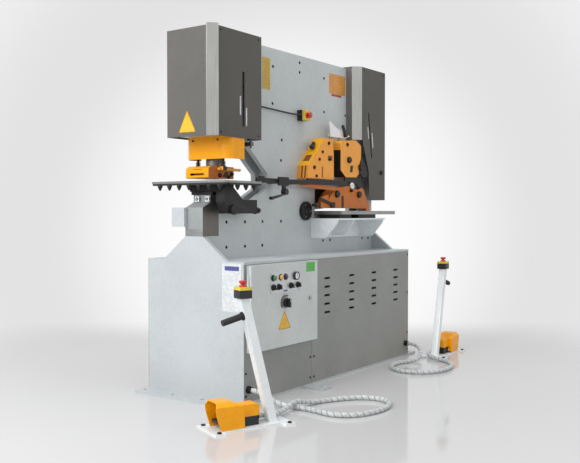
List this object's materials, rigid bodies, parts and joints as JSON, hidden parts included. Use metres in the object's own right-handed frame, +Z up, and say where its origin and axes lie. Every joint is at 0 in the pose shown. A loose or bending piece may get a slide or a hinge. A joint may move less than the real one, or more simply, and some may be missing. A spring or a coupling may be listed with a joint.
{
  "type": "punching and shearing machine",
  "caption": "Hydraulic punching and shearing machine: floor cabinet under a steel frame with a punch station at one end and shears for flat, angle and bar at the other, and two foot pedals.",
  "frame": {"origin": "centre of the base's underside, on the floor", "axes": "+X from the punch end to the shear end, +Y from the control side to the rear, +Z up"},
  "size_m": [2.6193, 1.41, 1.893],
  "materials": {
    "frame_paint": "satin light grey paint",
    "pale_paint": "satin pale grey paint",
    "panel_paint": "satin mid grey paint",
    "cover_paint": "satin dark grey paint",
    "trim_metal": "brushed",
    "orange_paint": "gloss orange paint",
    "dark_orange_paint": "gloss dark orange paint",
    "black_steel": "blackened steel",
    "black_plastic": "matte black",
    "bright_steel": "ground steel",
    "dark_steel": "dark machined steel",
    "stand_paint": "satin pale grey paint",
    "green_plastic": "gloss green",
    "yellow_plastic": "gloss yellow",
    "red_plastic": "gloss red",
    "cable_sleeve": "spiral plastic sleeve"
  },
  "bodies": {
    "machine": {"main_frame": "frame_paint", "frame_plate_front": "frame_paint", "frame_plate_rear": "frame_paint", "punch_cylinder": "frame_paint", "shear_cylinder": "frame_paint", "control_box": "frame_paint", "base_frame": "pale_paint", "slug_box": "pale_paint", "shear_bracket": "pale_paint", "shield": "pale_paint", "cabinet_panels": "panel_paint", "power_pack": "panel_paint", "punch_cover": "cover_paint", "shear_cover": "cover_paint", "cover_trims": "trim_metal", "punch_guard": "orange_paint", "angle_guard": "orange_paint", "bar_guard": "orange_paint", "pedal_hoods": "orange_paint", "lower_guard": "dark_orange_paint", "screws_and_glands": "black_steel", "die_holder": "black_steel", "table_knobs": "black_steel", "table_bracket": "black_steel", "gauge_bar": "black_steel", "pivot_pin": "black_steel", "pedal_bodies": "black_plastic", "estop_lead": "black_plastic", "die": "bright_steel", "punch_table": "bright_steel", "fixed_blades": "bright_steel", "shear_table": "bright_steel", "jaw_block": "dark_steel", "pedal_stands": "stand_paint", "estop_boxes": "yellow_plastic", "left_cable": "cable_sleeve", "right_cable": "cable_sleeve"},
    "punch_head": {"punch_ram": "bright_steel", "punch": "bright_steel"},
    "stripper": {"stripper": "orange_paint"},
    "table_lock_knob": {"table_lock_knob": "black_plastic"},
    "gauge_lever": {"gauge_lever": "black_steel"},
    "shear_beam": {"shear_beam": "dark_steel", "moving_blades": "bright_steel"},
    "shear_rod": {"shear_rod": "bright_steel"},
    "hold_down_lever": {"hold_down_lever": "black_plastic"},
    "control_door": {"control_door": "frame_paint", "control_panel": "trim_metal"},
    "start_button": {"start_button": "green_plastic"},
    "selector_1": {"selector_1": "black_plastic"},
    "selector_2": {"selector_2": "black_plastic"},
    "selector_3": {"selector_3": "black_plastic"},
    "selector_4": {"selector_4": "black_plastic"},
    "main_switch": {"main_switch": "black_plastic"},
    "door_lock": {"door_lock": "bright_steel"},
    "plate_estop_button": {"plate_estop_button": "red_plastic"},
    "left_estop_button": {"left_estop_button": "red_plastic"},
    "right_estop_button": {"right_estop_button": "red_plastic"},
    "left_treadle": {"left_treadle": "black_plastic"},
    "right_treadle": {"right_treadle": "black_plastic"}
  },
  "joints": [
    {"name": "punch_stroke", "type": "slide", "parent": "machine", "child": "punch_head", "axis": [0, 0, -1], "range_m": [0, 0.04]},
    {"name": "stripper_height", "type": "slide", "parent": "machine", "child": "stripper", "axis": [0, 0, 1], "range_m": [-0.008, 0.008]},
    {"name": "table_lock_turn", "type": "hinge", "parent": "machine", "child": "table_lock_knob", "pos_m": [-0.5517, -0.133, 0.958], "axis": [1, 0, 0], "range_deg": [0, 270]},
    {"name": "gauge_lever_turn", "type": "hinge", "parent": "machine", "child": "gauge_lever", "pos_m": [-0.305, -0.162, 1.062], "axis": [0, 1, 0], "range_deg": [-60, 20]},
    {"name": "shear_stroke", "type": "hinge", "parent": "machine", "child": "shear_beam", "pos_m": [0.043, 0, 0.956], "axis": [0, 1, 0], "range_deg": [0, 4.5]},
    {"name": "shear_rod_stroke", "type": "slide", "parent": "machine", "child": "shear_rod", "axis": [0, 0, -1], "range_m": [0, 0.055]},
    {"name": "hold_down_turn", "type": "hinge", "parent": "machine", "child": "hold_down_lever", "pos_m": [0.418, -0.106, 1.43], "axis": [0, 1, 0], "range_deg": [-40, 20]},
    {"name": "door_swing", "type": "hinge", "parent": "machine", "child": "control_door", "pos_m": [-0.855, -0.34, 0.47], "axis": [0, 0, -1], "range_deg": [0, 110]},
    {"name": "start_press", "type": "slide", "parent": "control_door", "child": "start_button", "axis": [0, 1, 0], "range_m": [0, 0.004], "stiffness_N_per_m": 400, "springref_m": -0.002},
    {"name": "selector_1_turn", "type": "hinge", "parent": "control_door", "child": "selector_1", "pos_m": [-0.673, -0.3575, 0.568], "axis": [0, 1, 0], "range_deg": [-45, 45]},
    {"name": "selector_2_turn", "type": "hinge", "parent": "control_door", "child": "selector_2", "pos_m": [-0.626, -0.3575, 0.568], "axis": [0, 1, 0], "range_deg": [-45, 45]},
    {"name": "selector_3_turn", "type": "hinge", "parent": "control_door", "child": "selector_3", "pos_m": [-0.52, -0.3575, 0.568], "axis": [0, 1, 0], "range_deg": [-45, 45]},
    {"name": "selector_4_turn", "type": "hinge", "parent": "control_door", "child": "selector_4", "pos_m": [-0.457, -0.3575, 0.568], "axis": [0, 1, 0], "range_deg": [-45, 45]},
    {"name": "main_switch_turn", "type": "hinge", "parent": "control_door", "child": "main_switch", "pos_m": [-0.565, -0.3555, 0.482], "axis": [0, 1, 0], "range_deg": [0, 90]},
    {"name": "door_lock_turn", "type": "hinge", "parent": "control_door", "child": "door_lock", "pos_m": [-0.339, -0.3555, 0.488], "axis": [0, 1, 0], "range_deg": [0, 90]},
    {"name": "plate_estop_press", "type": "slide", "parent": "machine", "child": "plate_estop_button", "axis": [0, 1, 0], "range_m": [0, 0.004]},
    {"name": "left_estop_press", "type": "slide", "parent": "machine", "child": "left_estop_button", "axis": [0, 0, -1], "range_m": [0, 0.004]},
    {"name": "right_estop_press", "type": "slide", "parent": "machine", "child": "right_estop_button", "axis": [0, 0, -1], "range_m": [0, 0.004]},
    {"name": "left_treadle_press", "type": "hinge", "parent": "machine", "child": "left_treadle", "pos_m": [-1.19602, -0.54546, 0.036], "axis": [-0.3907, -0.9205, 0], "range_deg": [0, 11], "stiffness_Nm_per_rad": 12, "springref_deg": -8.59},
    {"name": "right_treadle_press", "type": "hinge", "parent": "machine", "child": "right_treadle", "pos_m": [1.09188, -0.48651, 0.036], "axis": [-0.0698, 0.9976, 0], "range_deg": [0, 11], "stiffness_Nm_per_rad": 12, "springref_deg": -8.59}
  ],
  "couplings": [
    {"joint": "shear_rod_stroke", "follows": "shear_stroke", "m_per_rad": 0.699}
  ]
}
